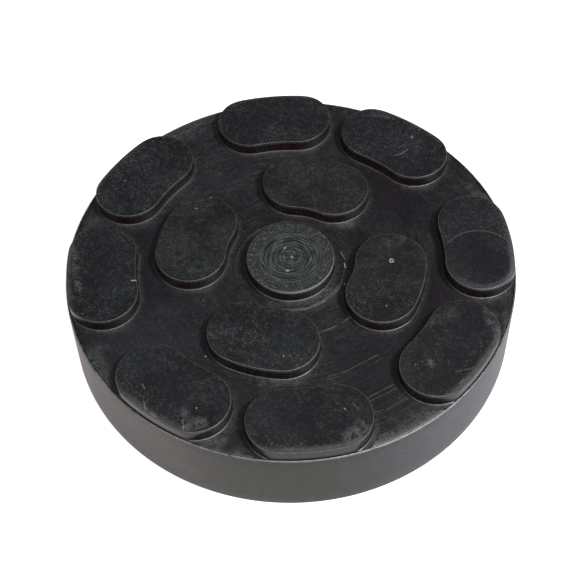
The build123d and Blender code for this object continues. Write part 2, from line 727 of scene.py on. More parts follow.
# %% Masks of the parts
above_floor = z - floor_height / mm
on_top = shader.step(above_floor, 0.75 * boss_height / mm, 0.8 * boss_height / mm)
on_side = shader.step(axis_distance, pad_radius / mm - 0.12, pad_radius / mm - 0.02)
on_centre = on_top * shader.step(
    axis_distance, centre_boss_radius / mm + 0.1, centre_boss_radius / mm
)
on_floor = (
    (1 - on_top) * shader.step(above_floor, 0.5, 0.15) * shader.step(above_floor, -0.6, -0.3)
)
on_wall = (1 - on_top) * shader.step(above_floor, 0.1, 0.6)
inner_row = shader.step(axis_distance, 42.0, 36.0)
outer_edge = shader.step(axis_distance, 51.0, 58.0)
centre_band = shader.step(axis_distance, 7.8, 9.2)
print("nodes with the masks:", len(shader.tree.nodes))

# %% [markdown]
# The dust, the tints and the rubbing aren't the same all over the pad, and the painted
# highlights, reflections and shade are stronger on the sides that face the light.
# Two helpers tell how far a place lies towards one side of the pad, and which way a
# wall faces. Both take a direction as it is in the picture, to the right and away.
# It is turned once, here in Python, into a fixed direction on the pad, so that the
# pattern stays on the rubber whichever way one looks at it.

# %% Sides of the pad
surface_normal = shader.node("ShaderNodeNewGeometry", None, None, "Normal")


def towards(right, away):
    """How far a place lies towards a side of the pad, from -1 to 1 along the direction."""
    direction = facing @ Vector((right, away, 0)) / (pad_radius / mm)
    return shader.vector("DOT_PRODUCT", flat_place, direction, output="Value")


def faces(right, away, start, end):
    """1 where the surface faces a direction."""
    direction = facing @ Vector((right, away, 0)).normalized()
    turned = shader.vector("DOT_PRODUCT", surface_normal, direction, output="Value")
    return shader.step(turned, start, end)


rightward = towards(1, 0)
front_right = towards(0.6, -0.8)
rear_left = towards(-0.5, 0.85)
front_share = shader.step(front_right, -0.55, 0.35)
left_share = shader.step(rightward, 0.0, -0.5)
# Painted sheen: in_light is the front-right and rear-left sides, where the turning marks lie
# across the light.
in_light = shader.most(
    shader.step(front_right, 0.3, 0.8), shader.step(rear_left, 0.3, 0.6, 0.7)
)
faces_front = faces(0.0, -1, -0.05, 0.5)
faces_back = faces(0.0, 1, 0.04, 0.35)
faces_left = faces(-0.85, -0.5, 0.5, 0.98)
faces_right = faces(0.85, -0.5, 0.55, 0.98)
print("nodes with the sides:", len(shader.tree.nodes))

# %% [markdown]
# ### Places read from the picture
#
# Some marks belong to this one pad: bright specks, a thumb of bloom, a few scratches, and patches
# of painted glint, sheen and shade. Each is named and given by the pixels it covers. A ray from
# the camera through the pixel, met with the plane of the floor or of the boss tops, turns them
# into places on the rubber.

# %% From a pixel to the pad
picture_middle = 288
focal_pixels = camera_lens / camera_data.sensor_width * 2 * picture_middle
shortest_streak = 0.05


def on_pad(pixel, height):
    """The point on the pad, in mm, that a pixel shows at a height."""
    across = pixel[0] + 0.5 - picture_middle
    down = pixel[1] + 0.5 - picture_middle
    ray = camera.rotation_quaternion @ Vector((across, -down, -focal_pixels))
    met = camera.location + ray * (height - camera.location.z) / ray.z
    return Vector((met.x / mm, met.y / mm, 0))


def streak_distance(start, end, height):
    """Distance in mm to the line between two pixels, seen at a height."""
    first = on_pad(start, height)
    along = on_pad(end, height) - first
    from_first = shader.vector("SUBTRACT", flat_place, first)
    if along.length < shortest_streak:
        return shader.vector("LENGTH", from_first, output="Value")
    dot = shader.vector("DOT_PRODUCT", from_first, along / along.length_squared, output="Value")
    share = shader.least(shader.most(dot, 0), 1)
    return shader.vector("DISTANCE", from_first, shader.scaled(along, share), output="Value")


def patches_of(named, height):
    """A soft mask of named streaks: strongest on the line, 0 beyond the reach in mm."""
    masks = [
        shader.step(streak_distance(start, end, height), reach, reach * 0.15, strength)
        for start, end, reach, strength in named.values()
    ]
    return shader.most(*masks)


middle_place = on_pad((picture_middle, picture_middle), floor_height)
print(f"the middle pixel shows the floor {middle_place.length:.1f} mm from the axis")

# %% [markdown]
# Each entry below gives a first and a last pixel, the reach in mm and the strength.
# First come the marks on the tops of the bosses.

# %% Marks on the tops
top_specks = {
    "centre boss, lower": ((286, 270), (288, 270), 0.36, 1.0),
    "centre boss, middle": ((291, 256), (292, 257), 0.34, 0.9),
    "centre boss, upper": ((284, 248), (285, 247), 0.32, 0.8),
    "left outer boss dash": ((131, 280), (136, 280), 0.28, 1.0),
    "rear left boss": ((125, 180), (125, 180), 0.30, 0.7),
    "inner left boss": ((210, 197), (211, 197), 0.28, 0.6),
    "inner left boss, cross": ((195, 208), (197, 208), 0.26, 0.5),
    "inner right boss, low": ((386, 305), (386, 306), 0.24, 0.6),
    "inner right boss, middle": ((379, 291), (379, 291), 0.24, 0.5),
    "right boss": ((415, 364), (415, 364), 0.26, 0.7),
    "right boss, upper": ((422, 361), (422, 361), 0.24, 0.5),
    "front left boss speck": ((196, 407), (196, 408), 0.27, 0.7),
    "front boss": ((344, 408), (345, 409), 0.26, 0.7),
    "inner front boss": ((283, 355), (283, 356), 0.27, 0.7),
    "rear right boss": ((411, 136), (412, 137), 0.55, 0.35),
}
top_scratches = {
    "front left boss, hook": ((142, 384), (144, 388), 0.28, 0.7),
    "front left boss, upright": ((143, 401), (145, 408), 0.28, 0.8),
    "front left boss, slanted": ((150, 412), (156, 416), 0.28, 0.7),
    "front left boss, by the bloom": ((182, 419), (183, 432), 0.30, 0.6),
    "right boss, long": ((456, 371), (471, 368), 0.34, 0.35),
    "right boss, lower": ((459, 383), (463, 379), 0.34, 0.5),
    "rear right boss": ((394, 155), (401, 153), 0.30, 0.7),
    "rear right boss, on": ((401, 153), (407, 149), 0.30, 0.7),
    "rear right boss, above": ((398, 147), (404, 144), 0.26, 0.5),
    "rear boss": ((330, 99), (338, 105), 0.24, 0.4),
    "front boss, right": ((352, 402), (358, 409), 0.26, 0.4),
}
# Bloom and painted sheen: pale patches on the tops, some of them painted highlights on the
# crowned edges.
top_blooms_and_sheen = {
    "thumb mark": ((188, 424), (201, 422), 2.4, 1.0),
    "thumb mark, trail": ((186, 416), (183, 409), 1.3, 0.8),
    "front boss, right end": ((351, 435), (361, 429), 3.4, 0.9),
    "front boss, spot": ((320, 424), (321, 424), 1.3, 0.4),
    "right boss, haze": ((427, 358), (432, 365), 1.2, 0.8),
    "right boss, upper edge": ((488, 312), (500, 340), 2.2, 0.7),
    "right boss, top": ((433, 320), (452, 312), 3.0, 0.3),
    "left boss, outer edge": ((73, 246), (78, 292), 1.3, 0.6),
    "inner right boss, top": ((390, 242), (403, 239), 2.6, 0.25),
    "inner front boss, left": ((211, 332), (228, 326), 3.5, 0.18),
    "inner left boss, lower": ((182, 262), (198, 268), 4.0, 0.18),
    "rear left boss, upper edge": ((108, 165), (122, 150), 1.6, 0.5),
    "rear right boss, upper edge": ((372, 114), (388, 116), 1.2, 0.6),
}
# Painted shade: places on the tops painted darker.
shaded_top_places = {
    "right boss, low": ((436, 384), (452, 380), 5.5, 1.0),
    "left boss": ((100, 240), (104, 275), 7.5, 0.8),
    "right outer boss": ((475, 252), (492, 262), 8.0, 0.9),
    "front boss": ((282, 400), (310, 430), 7.0, 0.8),
    "front left boss": ((150, 380), (172, 392), 6.0, 0.7),
    "rear boss": ((255, 105), (300, 100), 7.0, 0.6),
}
specks_on_top = patches_of(top_specks, pad_height) * on_top
scratches_on_top = patches_of(top_scratches, pad_height) * on_top
top_bloom_and_sheen_patches = patches_of(top_blooms_and_sheen, pad_height) * on_top
top_painted_shade = patches_of(shaded_top_places, pad_height)
print("marks on the tops:", len(top_specks) + len(top_scratches) + len(top_blooms_and_sheen))

# %% [markdown]
# The floor has its own marks. A dark place is painted shade: the rubber is painted darker there,
# on the tops as on the floor.

# %% Marks on the floor
floor_specks = {
    "by the inner front boss": ((205, 356), (205, 356), 0.34, 1.0),
    "right of centre": ((340, 251), (344, 258), 0.17, 0.5),
    "right of centre, middle": ((344, 263), (345, 267), 0.26, 0.8),
    "right of centre, lower": ((344, 283), (344, 284), 0.22, 0.7),
    "left floor": ((203, 300), (203, 300), 0.26, 0.6),
    "by the rear left boss": ((175, 208), (176, 208), 0.34, 1.0),
    "rim, front right": ((403, 437), (404, 437), 0.36, 1.0),
}
# Painted highlights: glints and pale halos on the floor below and beside the bosses, with some
# bloom by the rim.
floor_bloom_and_glints = {
    "front right floor": ((376, 441), (392, 436), 3.0, 1.0),
    "front right floor, on": ((400, 431), (428, 412), 2.6, 0.8),
    "rear left rim": ((196, 121), (168, 138), 4.2, 0.8),
    "left rim": ((92, 356), (101, 372), 3.6, 0.9),
    "below the rear inner boss": ((341, 225), (350, 224), 2.0, 0.9),
    "between the front bosses": ((206, 440), (222, 441), 2.4, 0.9),
    "below the inner front boss": ((262, 384), (300, 381), 1.8, 0.6),
    "below the centre boss": ((272, 303), (305, 302), 2.2, 0.5),
    "right of the centre boss": ((312, 300), (334, 288), 2.0, 0.8),
    "below the rear right boss": ((405, 186), (425, 183), 1.8, 0.7),
    "below the rear boss": ((303, 149), (312, 147), 1.7, 0.7),
}
floor_lines = {
    "front right, long": ((343, 372), (378, 354), 0.20, 0.8),
    "front right, long, on": ((328, 376), (343, 372), 0.20, 0.6),
    "front right, under it": ((327, 379), (340, 376), 0.18, 0.5),
    "front right, short": ((374, 362), (382, 357), 0.18, 0.5),
    "front right, pair": ((366, 398), (393, 384), 0.20, 0.8),
    "front right, pair, lower": ((369, 401), (396, 388), 0.18, 0.6),
    "front right, low": ((374, 412), (383, 409), 0.20, 0.7),
    "front right, low, on": ((386, 409), (407, 398), 0.18, 0.5),
    "front, beside the boss": ((398, 398), (412, 386), 0.18, 0.5),
}
# Painted shade: places on the floor painted darker.
shaded_floor_places = {
    "right": ((430, 285), (412, 330), 15.0, 1.0),
    "rear right": ((400, 205), (362, 175), 12.0, 0.8),
    "left": ((146, 240), (150, 290), 9.0, 0.7),
    "right of the centre boss": ((360, 235), (364, 262), 5.0, 0.8),
    "front right": ((365, 360), (380, 395), 11.0, 0.8),
}
specks = shader.most(specks_on_top, patches_of(floor_specks, floor_height) * on_floor)
lines_on_floor = patches_of(floor_lines, floor_height) * on_floor
scratches = shader.most(scratches_on_top, lines_on_floor * 0.6)
floor_bloom_and_glint_patches = patches_of(floor_bloom_and_glints, floor_height) * on_floor
floor_painted_shade = patches_of(shaded_floor_places, floor_height)
print("nodes with the marks:", len(shader.tree.nodes))

# %% [markdown]
# ### Turning marks
#
# Fine marks run round the pad's axis on the floor and on the centre boss, and round
# the ends of each kidney on its top, as if cutters had gone round there. They are
# long along the circle and narrow across it. Noise does this if it is given the
# radius, strongly scaled, and the direction round the circle, weakly scaled. Two
# numbers, the cosine and sine of the angle, stand for the direction, so the marks
# have no seam.

# %% Marks that run round


def end_distance_of(path_radius, half_angle, from_middle):
    """Distance in mm to the nearer end centre of a row of slots."""
    return shader.sum("SQRT", squared_from_path(path_radius / mm, from_middle - half_angle))


def round_marks(distance, per_mm, along, detail):
    """Noise stretched along circles. Along is how fast it changes round the circle."""
    round_x = x / axis_distance * along
    round_y = y / axis_distance * along
    return shader.noise(shader.point(round_x, round_y, distance * per_mm), 1.0, detail, 0.65)


end_distance = shader.least(
    end_distance_of(inner_path_radius, inner_half_angle, inner_from_middle),
    end_distance_of(outer_path_radius, outer_half_angle, outer_from_middle),
)
floor_marks = round_marks(axis_distance, 2.6, 5.0, 3.0)
floor_scratches = shader.step(round_marks(axis_distance, 4.4, 7.0, 1.0), 0.68, 0.76)
centre_marks = round_marks(axis_distance, 2.3, 1.5, 3.0)
centre_fine = round_marks(axis_distance, 4.6, 1.7, 1.0)
centre_long = round_marks(axis_distance, 2.8, 0.6, 2.0)
cutter_marks = shader.noise(shader.point(x * 0.13, y * 0.13, end_distance * 2.3), 1.0, 2.0, 0.6)
print("nodes with the turning marks:", len(shader.tree.nodes))

# %% [markdown]
# ### Grain and cloud
#
# Rubber is never even: slow clouds of tone lie under a fine pale grain, where chalk
# and dust sit in the pores. One noise of many octaves could give both, but then they
# couldn't be mixed in different shares on the tops, the floor and the side.

# %% Grain and cloud
cloud = shader.noise(place_mm, 0.05, 3.0, 0.55)
patches = shader.noise(place_mm, 0.15, 4.0, 0.62)
mottle = shader.noise(place_mm, 0.6, 3.0, 0.65)
grain = shader.noise(place_mm, 1.55, 2.0, 0.75)
fine_grain = shader.noise(place_mm, 3.7, 1.0, 0.5)
dust = shader.step(shader.noise(place_mm, 2.5, 0.0), 0.66, 0.76)
sparkle = shader.step(fine_grain * 0.5 + grain * 0.5, 0.58, 0.70)
cloud_share = shader.step(cloud * 0.6 + patches * 0.4 + 0.3 * (mottle - 0.5), 0.38, 0.64)
grain_share = shader.step(grain * 0.40 + fine_grain * 0.45 + mottle * 0.15, 0.48, 0.66)
tint_share = shader.step(mottle * 0.5 + patches * 0.5, 0.40, 0.60)
print("nodes with the grain:", len(shader.tree.nodes))

# %% [markdown]
# ### Bloom, wear and painted highlights
#
# Bloom is a bluish haze of wax that rises to worn and bent places: the crowned edge of the outer
# bosses and the floor by the rim. Painted sheen lies over it on the crowns, in listed patches,
# and in the corner at the foot of each boss. The lips of the bosses and the bead of the rim are
# rubbed pale, with a painted highlight that is stronger at the front. The zones come from the
# distances to the outlines, and the noises break them up, because a zone with an even edge looks
# painted on.

# %% Bloom, wear and painted highlights
crown_zone = on_top * shader.step(
    axis_distance, crown_start / mm - 0.4, outer_wall_radius / mm - 0.3
)
rim_zone = shader.step(axis_distance, 49.0, 59.0) * on_floor
lip_zone = shader.step(edge_distance, -0.28, -0.18) * on_top
lip_zone = lip_zone * shader.step(edge_distance, 0.1, -0.1)
# Painted sheen: a pale haze on the floor round the foot of each boss.
foot_zone = shader.step(boss_distance, 2.2, 0.1) * on_floor
# Painted shadow: the floor at the left feet of the bosses.
foot_left_shadow = faces(-0.95, 0.1, 0.004, 0.040) * foot_zone
# Painted highlight: a pale line at the foot of each boss, on the sides facing the front.
foot_highlight_line = shader.step(boss_distance, 0.52, 0.25) * shader.step(above_floor, 0.30, 0.10)
foot_highlight_line = foot_highlight_line * on_floor * faces_front

# Bloom with painted sheen: the crowned edges and the listed patches on the tops.
bloom_and_sheen = shader.most(
    shader.step(crown_zone * 0.75 + patches * 1.3 + 0.4 * (grain - 0.5), 0.98, 1.56) * on_top,
    top_bloom_and_sheen_patches * shader.step(mottle, 0.30, 0.70),
)
# Bloom by the rim, with the painted glints and halos of the floor patches.
haze_and_sheen = shader.most(
    rim_zone * shader.step(patches, 0.46, 0.70),
    floor_bloom_and_glint_patches * shader.step(mottle, 0.30, 0.65),
)
# Lips rubbed pale, with a painted highlight stronger at the front.
lip_wear_and_highlight = lip_zone * (0.5 + 0.3 * shader.step(mottle, 0.35, 0.65) + 0.2 * front_share)
# Far lips: wear, with a painted highlight stronger at the front right.
far_lip_wear_and_highlight = shader.step(edge_distance, -0.40, -0.24) * on_top * faces_back
far_lip_wear_and_highlight = far_lip_wear_and_highlight * shader.step(mottle, 0.25, 0.60) * (0.15 + 0.45 * front_share)
far_lip_wear_and_highlight = far_lip_wear_and_highlight * (0.35 + 0.65 * shader.step(rightward, -0.1, 0.5))
print("nodes with bloom and wear:", len(shader.tree.nodes))

# %% [markdown]
# The rim has two fine lines side by side: the bead, rubbed pale and with a painted highlight at
# the front right, and the groove behind it, painted black as painted shade. The raised rings on
# the floor get a painted glint only where they lie across the light.

# %% Lines of the rim and the floor
rim_mm = pad_radius / mm
bead_zone = (
    shader.step(axis_distance, rim_mm - 0.40, rim_mm - 0.33)
    * shader.step(above_floor, -0.45, -0.2)
    * shader.step(above_floor, 0.3, 0.15)
)
# Painted highlight: the bead is paler at the front right.
bead_highlight_side = shader.step(rightward, 0.0, 0.4) * shader.step(rightward, 0.82, 0.62)
bead_wear_and_highlight = 0.42 + 0.5 * bead_highlight_side
rubbed_and_lit_bead = bead_zone * bead_wear_and_highlight * shader.step(mottle + 0.3 * grain, 0.15, 0.95)
# Painted shade: the groove inside the bead is painted black.
groove_painted_shade = (
    shader.step(axis_distance, rim_mm - 0.66, rim_mm - 0.58)
    * shader.step(axis_distance, rim_mm - 0.36, rim_mm - 0.42)
    * shader.step(above_floor, 0.25, 0.1)
    * on_floor
)
# Painted glint: the raised floor rings are paler where they lie across the light.
glint_angle = radians(-62)
glint_side = facing @ Quaternion((0, 0, 1), glint_angle) @ Vector((1, 0, 0))
outward = shader.vector("NORMALIZE", flat_place)
glint = shader.vector("DOT_PRODUCT", outward, glint_side, output="Value")
rings_seen = [shader.step(abs(axis_distance - ring / mm), 0.20, 0.06) for ring, _ in tool_rings]
ring_glow = shader.most(*rings_seen) * on_floor * shader.step(floor_marks, 0.36, 0.60)
ring_glow = ring_glow * (0.12 + 0.88 * shader.step(glint, 0.70, 0.95))
print("nodes with the lines:", len(shader.tree.nodes))

# %% [markdown]
# ### Marks of single bosses
#
# The right outer boss has a fine arc and a speckled band where a cutter turned about
# one end of the kidney. The centre of that end is picked from all the end centres by
# a pixel near it, and three pixels on the arc in the picture check the radius. The
# rear right boss has a small swirl, and the right inner boss a small raised ring,
# like the mark of a moulding gate.

# %% Cutter arc, swirl and gate mark
end_centres = [
    Quaternion((0, 0, 1), quarter * n + side * outer_boss_angle + end * outer_half_angle)
    @ Vector((outer_path_radius / mm, 0, 0))
    for n in range(4)
    for side in (-1, 1)
    for end in (-1, 1)
]
arc_inside = on_pad((492, 262), pad_height)
arc_middle = min(end_centres, key=lambda centre: (centre - arc_inside).length)
arc_radius = 10.3
arc_pixels = ((448, 241), (474, 229), (511, 241))
for pixel in arc_pixels:
    print("arc pixel", pixel, "radius", round((on_pad(pixel, pad_height) - arc_middle).length, 2))

arc_distance = shader.vector("DISTANCE", flat_place, arc_middle, output="Value")
arc_near = shader.step(streak_distance((462, 232), (496, 232), pad_height), 11.0, 5.0)
arc_fade = shader.step(streak_distance((462, 232), (490, 232), pad_height), 8.0, 2.0)
cutter_arc = shader.step(abs(arc_distance - arc_radius), 0.19, 0.05) * arc_fade
above_arc = shader.step(arc_distance, arc_radius, arc_radius + 0.4) * arc_near
from_arc = shader.vector("SUBTRACT", flat_place, arc_middle)
arc_side = facing @ Vector((0.45, -0.9, 0)) / arc_radius
band_side = shader.vector("DOT_PRODUCT", from_arc, arc_side, output="Value")
arc_band = shader.step(arc_distance, 7.2, 8.4) * shader.step(arc_distance, 9.9, 9.4)
arc_band = arc_band * shader.step(band_side, -0.35, 0.7)
arc_band = arc_band * (0.35 + 0.65 * shader.step(cutter_marks, 0.40, 0.60))

swirl_place = streak_distance((405, 146), (408, 144), pad_height)
swirl = shader.step(swirl_place, 5.5, 2.0) * shader.step(cutter_marks, 0.45, 0.65)
top_arcs = shader.most(cutter_arc * (0.4 + 0.6 * mottle), swirl * 0.28) * on_top
gate_place = streak_distance((391, 260), (391, 260), pad_height)
gate_radius = 0.50
gate_ring = shader.step(abs(gate_place - gate_radius), 0.30, 0.06) * on_top
print("nodes with all marks:", len(shader.tree.nodes))

# %% [markdown]
# ### Colours
#
# Each part starts from a black and takes paler tones through masks, in the order in which they
# lie on the rubber: tone first, then dust, then what rubs and blooms, with painted highlights,
# reflections and shade among them.
# The colours are written as light values, so a black of 0.002 is right. The first
# few tones are used on several parts.

# %% Colours of the tops
dust_pale = (0.075, 0.078, 0.075)
bead_pale_and_highlight = (0.24, 0.24, 0.235)
wall_black = (0.0036, 0.0002, 0.0010)
top_black = (0.0006, 0.0009, 0.0018)
top_cloud = (0.0056, 0.0068, 0.0074)
top_pale = (0.0285, 0.0300, 0.0330)
top_violet = (0.0046, 0.0024, 0.0048)
top_olive = (0.0098, 0.0100, 0.0080)
bloom_pale = (0.060, 0.072, 0.078)

violet_share = tint_share * 0.2 + shader.step(towards(0.7, 0.7), -0.4, 0.7, 0.55)
# Painted sheen: the pale grain is stronger towards the rear left, where the marks catch the
# light.
pale_grain_and_sheen = grain_share * (0.20 + 0.50 * cloud_share) * (1 + 0.55 * rear_left)
cutter_lines = shader.step(cutter_marks, 0.58, 0.72) * shader.step(patches, 0.42, 0.60)
patch_dust = shader.step(patches, 0.44, 0.64) * (0.14 + 0.26 * inner_row)
inner_olive = inner_row * shader.step(patches, 0.38, 0.62)
inner_olive = inner_olive * shader.step(towards(0, 1), -0.30, 0.0)
tops = shader.mix(cloud_share * 0.8 + 0.2 * grain_share, top_black, top_cloud)
tops = shader.mix(violet_share, tops, top_violet)
tops = shader.mix(pale_grain_and_sheen, tops, top_pale)
tops = shader.mix(sparkle * 0.24 * shader.step(patches, 0.36, 0.6), tops, dust_pale)
tops = shader.mix(cutter_lines * 0.14, tops, dust_pale)
tops = shader.mix(dust * shader.most(outer_edge * 0.36, patch_dust), tops, dust_pale)
# Painted shade on the tops.
tops = shader.mix(top_painted_shade * 0.6, tops, top_black)
tops = shader.mix(inner_olive * 0.45, tops, top_olive)
tops = shader.mix(above_arc * (0.05 + 0.25 * grain_share), tops, top_pale)
tops = shader.mix(top_arcs * 0.75, tops, dust_pale)
tops = shader.mix(arc_band * (0.1 + 1.1 * grain), tops, bloom_pale)
print("nodes with the tops:", len(shader.tree.nodes))

# %% [markdown]
# The centre boss is the greyest part. Its turning marks hold dust, and three noises
# of different length round the circle keep them from looking like a pattern. The
# plain band at its edge has grain in place of the marks.

# %% Colour of the centre boss
centre_dark = (0.0008, 0.0014, 0.0013)
centre_grey = (0.0320, 0.0375, 0.0335)

centre_share = shader.step(
    centre_marks * 0.42 + centre_fine * 0.32 + centre_long * 0.26, 0.45, 0.55
)
centre_share = shader.mix(centre_band, centre_share, grain_share * 0.6 + mottle * 0.5)
centre_sparks = shader.step(centre_marks * 0.35 + centre_fine * 0.25 + grain * 0.4, 0.55, 0.66)
centre_tone = shader.mix(centre_share * (0.45 + 0.9 * grain), centre_dark, centre_grey)
centre_tone = shader.mix(centre_sparks * 0.9, centre_tone, dust_pale)
centre_tone = shader.mix(dust * centre_band * 0.5, centre_tone, dust_pale)
tops = shader.mix(on_centre, tops, centre_tone)
print("nodes with the centre boss:", len(shader.tree.nodes))

# %% [markdown]
# The floor is warmer and darker than the tops, with a violet cast, bluer at the left. Dust lies
# in its turning marks and in the scratches, with painted sheen on the marks where they catch the
# light. The corner at the foot of each boss gets a painted sheen and, on the sides facing the
# front, a painted highlight line; the left feet get a painted violet shadow. Listed places are
# painted darker as painted shade.

# %% Colours of the floor
floor_black = (0.0017, 0.0010, 0.0024)
floor_cloud = (0.0056, 0.0042, 0.0066)
floor_green = (0.0048, 0.0056, 0.0044)
floor_blue = (0.0050, 0.0060, 0.0082)
floor_pale = (0.0190, 0.0184, 0.0200)
painted_shade_black = (0.0014, 0.0000, 0.0018)
haze_and_sheen_grey = (0.026, 0.0285, 0.0285)
foot_sheen_haze = (0.0260, 0.0265, 0.0190)
foot_shadow_violet = (0.0016, 0.0002, 0.0032)
foot_highlight_pale = (0.092, 0.080, 0.056)
ring_glint_pale = (0.095, 0.092, 0.080)

# Dust in the turning marks and scratches, with painted sheen where they lie across the light.
marks_dust_and_sheen = shader.step(floor_marks, 0.50, 0.70) * (0.10 + 0.16 * in_light - 0.06 * left_share)
scratch_dust_and_sheen = floor_scratches * shader.step(patches, 0.40, 0.58) * (0.22 + 0.30 * in_light)
foot_sheen_share = (foot_zone - foot_left_shadow * 0.8) * 0.55 * shader.step(mottle, 0.30, 0.65)
foot_highlight_share = foot_highlight_line * (0.30 + 0.40 * mottle) * (0.12 + 0.88 * front_share)
floor = shader.mix(cloud_share * 0.7 + 0.3 * grain_share, floor_black, floor_cloud)
floor = shader.mix(tint_share * 0.18, floor, floor_green)
floor = shader.mix(left_share * (0.25 + 0.5 * cloud_share), floor, floor_blue)
# Painted sheen: pale grain stronger towards the rear left.
floor = shader.mix(grain_share * 0.50 * (1 + 0.55 * rear_left), floor, floor_pale)
floor = shader.mix(marks_dust_and_sheen, floor, dust_pale)
floor = shader.mix(scratch_dust_and_sheen, floor, dust_pale)
floor = shader.mix(dust * 0.18 * shader.step(patches, 0.44, 0.62), floor, dust_pale)
# Painted shade on the floor.
floor = shader.mix(floor_painted_shade * 0.85, floor, painted_shade_black)
# Painted highlight over the floor: the glints and halos, with the rim bloom.
floor = shader.mix(haze_and_sheen * (0.25 + 1.0 * grain), floor, haze_and_sheen_grey)
floor = shader.mix(floor_bloom_and_glint_patches * shader.step(grain, 0.40, 0.75) * 0.40, floor, dust_pale)
# Painted sheen at the foot of each boss.
floor = shader.mix(foot_sheen_share * (0.25 + 1.0 * grain), floor, foot_sheen_haze)
# Painted shadow at the left feet, violet black.
floor = shader.mix(foot_left_shadow * 0.75, floor, foot_shadow_violet)
# Painted glint on the floor rings.
floor = shader.mix(ring_glow * 0.8, floor, ring_glint_pale)
# Painted highlight at the foot, strongest at the front right.
floor = shader.mix(foot_highlight_share, floor, foot_highlight_pale)
print("nodes with the floor:", len(shader.tree.nodes))

# %% [markdown]
# The walls of the bosses are the cleanest black, a little brown near the foot, with faint upright
# streaks, and a painted reflection: olive where they face left, blue where they face right. The
# side of the pad is plainer, and its tint changes slowly from left to right as a painted
# reflection, warmer at the left, darker at the front and bluer at the right.

# %% Colours of the walls and the side
wall_brown = (0.0065, 0.0016, 0.0016)
wall_streak = (0.0240, 0.0190, 0.0150)
wall_left_warm_reflection = (0.0100, 0.0064, 0.0022)
wall_right_reflection = (0.0100, 0.0120, 0.0150)
side_front_dim = (0.0040, 0.0048, 0.0030)
side_warm_reflection = (0.0112, 0.0090, 0.0076)
side_cool_reflection = (0.0084, 0.0080, 0.0124)

wall_streaks = shader.noise(shader.point(x * 1.9, y * 1.9, z * 0.12), 1.0, 2.0, 0.6)
wall = shader.mix(shader.step(above_floor, 1.6, 0.3) * mottle, wall_black, wall_brown)
wall = shader.mix(shader.step(wall_streaks, 0.50, 0.66) * 0.32, wall, wall_streak)
# Painted reflection: walls facing left are olive, walls facing right bluish.
wall = shader.mix(faces_left * shader.step(mottle, 0.3, 0.7), wall, wall_left_warm_reflection)
wall = shader.mix(faces_right * shader.step(above_floor, 2.8, 0.6) * 0.8, wall, wall_right_reflection)
# Painted reflection: the side is warmer and paler at the left, darker at the front, bluer at the
# right.
side = shader.mix(shader.step(rightward, -0.75, -0.2), side_warm_reflection, side_front_dim)
side = shader.mix(shader.step(rightward, 0.1, 0.6), side, side_cool_reflection)
side = shader.mix(shader.step(mottle, 0.35, 0.75) * 0.14, side, dust_pale)
side = shader.mix(shader.step(patches, 0.45, 0.7) * 0.10, side, dust_pale)
print("nodes with the walls:", len(shader.tree.nodes))

# %% [markdown]
# The parts are laid over one another through their masks, and the bloom with its painted sheen,
# the rubbed lips and bead with their painted highlights, the painted shade of the groove, the
# scratches and the specks come last, because they lie on top of the rest.

# %% All colours together
bloom_and_sheen_grey = (0.029, 0.034, 0.036)
lip_pale_and_highlight = (0.090, 0.093, 0.088)
speck_white = (0.25, 0.26, 0.255)

top_bloom_and_sheen_share = top_bloom_and_sheen_patches * shader.step(mottle * 0.5 + cutter_marks * 0.5, 0.42, 0.60)
# Painted highlight: the lip of the centre boss on the side facing the front right.
centre_lip_highlight = shader.step(edge_distance, -0.22, -0.12) * on_centre
centre_lip_highlight = centre_lip_highlight * shader.step(front_right, 0.0, 0.18)
scratched = scratches * shader.step(mottle, 0.28, 0.52) * (0.05 + 0.50 * grain)
gate_share = gate_ring * shader.step(fine_grain, 0.30, 0.62)
colour = shader.mix(on_top, floor, tops)
colour = shader.mix(on_wall, colour, wall)
# Bloom and painted sheen over the tops.
colour = shader.mix(bloom_and_sheen * (1.7 * grain - 0.28), colour, bloom_and_sheen_grey)
colour = shader.mix(top_bloom_and_sheen_share * (0.10 + 0.50 * grain), colour, dust_pale)
# Wear and painted highlight on the lips.
colour = shader.mix(lip_wear_and_highlight * (0.30 + 0.20 * front_share), colour, lip_pale_and_highlight)
colour = shader.mix(far_lip_wear_and_highlight, colour, lip_pale_and_highlight)
colour = shader.mix(centre_lip_highlight * (0.15 + 0.5 * fine_grain), colour, bead_pale_and_highlight)
colour = shader.mix(groove_painted_shade, colour, wall_black)
colour = shader.mix(shader.most(scratched, specks * 0.7, gate_share), colour, speck_white)
colour = shader.mix(on_side, colour, side)
# Wear and painted highlight on the bead.
colour = shader.mix(rubbed_and_lit_bead, colour, bead_pale_and_highlight)
print("nodes with all colours:", len(shader.tree.nodes))

# %% [markdown]
# ### Relief and gloss
#
# The marks are grooves of a few thousandths of a millimetre, too fine for the mesh,
# so a Bump node raises them. Its height is in millimetres, because its distance is
# set to one. On lips and feet, where the surface bends, the relief fades out. The
# gloss follows: bloom and dust are duller than clean rubber.

# %% Relief and gloss
rubber_ior = 1.47
dullest = 0.8

relief = (
    (grain - 0.5) * 0.010
    + (fine_grain - 0.5) * 0.004
    + (floor_marks - 0.5) * on_floor * 0.022
    + (centre_marks - 0.5) * on_centre * 0.050
    + (cutter_marks - 0.5) * (on_top - on_centre) * 0.008
    + gate_ring * 0.05
)
lip_bend = shader.step(edge_distance, -0.55, -0.30) * on_top
foot_bend = shader.step(boss_distance, 0.9, 0.6) * (1 - on_top)
relief = relief * (1 - shader.most(lip_bend, foot_bend) * 0.9)
bumped = shader.node("ShaderNodeBump", None, {"Strength": 1.0, "Distance": mm, "Height": relief})

